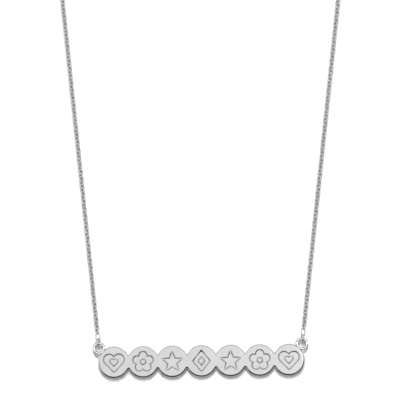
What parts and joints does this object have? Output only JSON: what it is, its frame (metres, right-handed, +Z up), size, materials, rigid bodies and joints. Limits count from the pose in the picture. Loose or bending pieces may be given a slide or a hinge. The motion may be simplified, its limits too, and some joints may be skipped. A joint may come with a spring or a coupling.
{
  "type": "nameplate necklace",
  "caption": "Nameplate necklace: a bar of joined round discs with sunk motifs, hung by eyelets and jump rings from a fine chain that closes round the neck with a ring clasp.",
  "frame": {"origin": "middle of the neck, at the height where the chain crosses the sides of the neck", "axes": "+Z up along the neck, -Y towards the front face of the nameplate, +X to the right as the nameplate is seen"},
  "size_m": [0.098, 0.0948, 0.1142],
  "materials": {
    "plate_silver": "satin white metal with polished edges",
    "wire_silver": "polished white metal wire",
    "chain_silver": "polished white metal links",
    "clasp_silver": "polished white metal"
  },
  "bodies": {
    "necklace": {"ring_left": "wire_silver", "ring_right": "wire_silver", "end_link_left": "wire_silver", "end_link_right": "wire_silver", "chain_left": "chain_silver", "chain_right": "chain_silver", "nape_link_left": "wire_silver", "nape_link_right": "wire_silver", "nape_ring_left": "wire_silver", "nape_ring_right": "wire_silver", "clasp": "clasp_silver"},
    "nameplate": {"nameplate": "plate_silver"}
  },
  "joints": [
    {"name": "nameplate_swing", "type": "hinge", "parent": "necklace", "child": "nameplate", "pos_m": [-0.00021, -0.04723, -0.08992], "axis": [0.9997, 0, 0.0228], "range_deg": [-90, 90]}
  ]
}
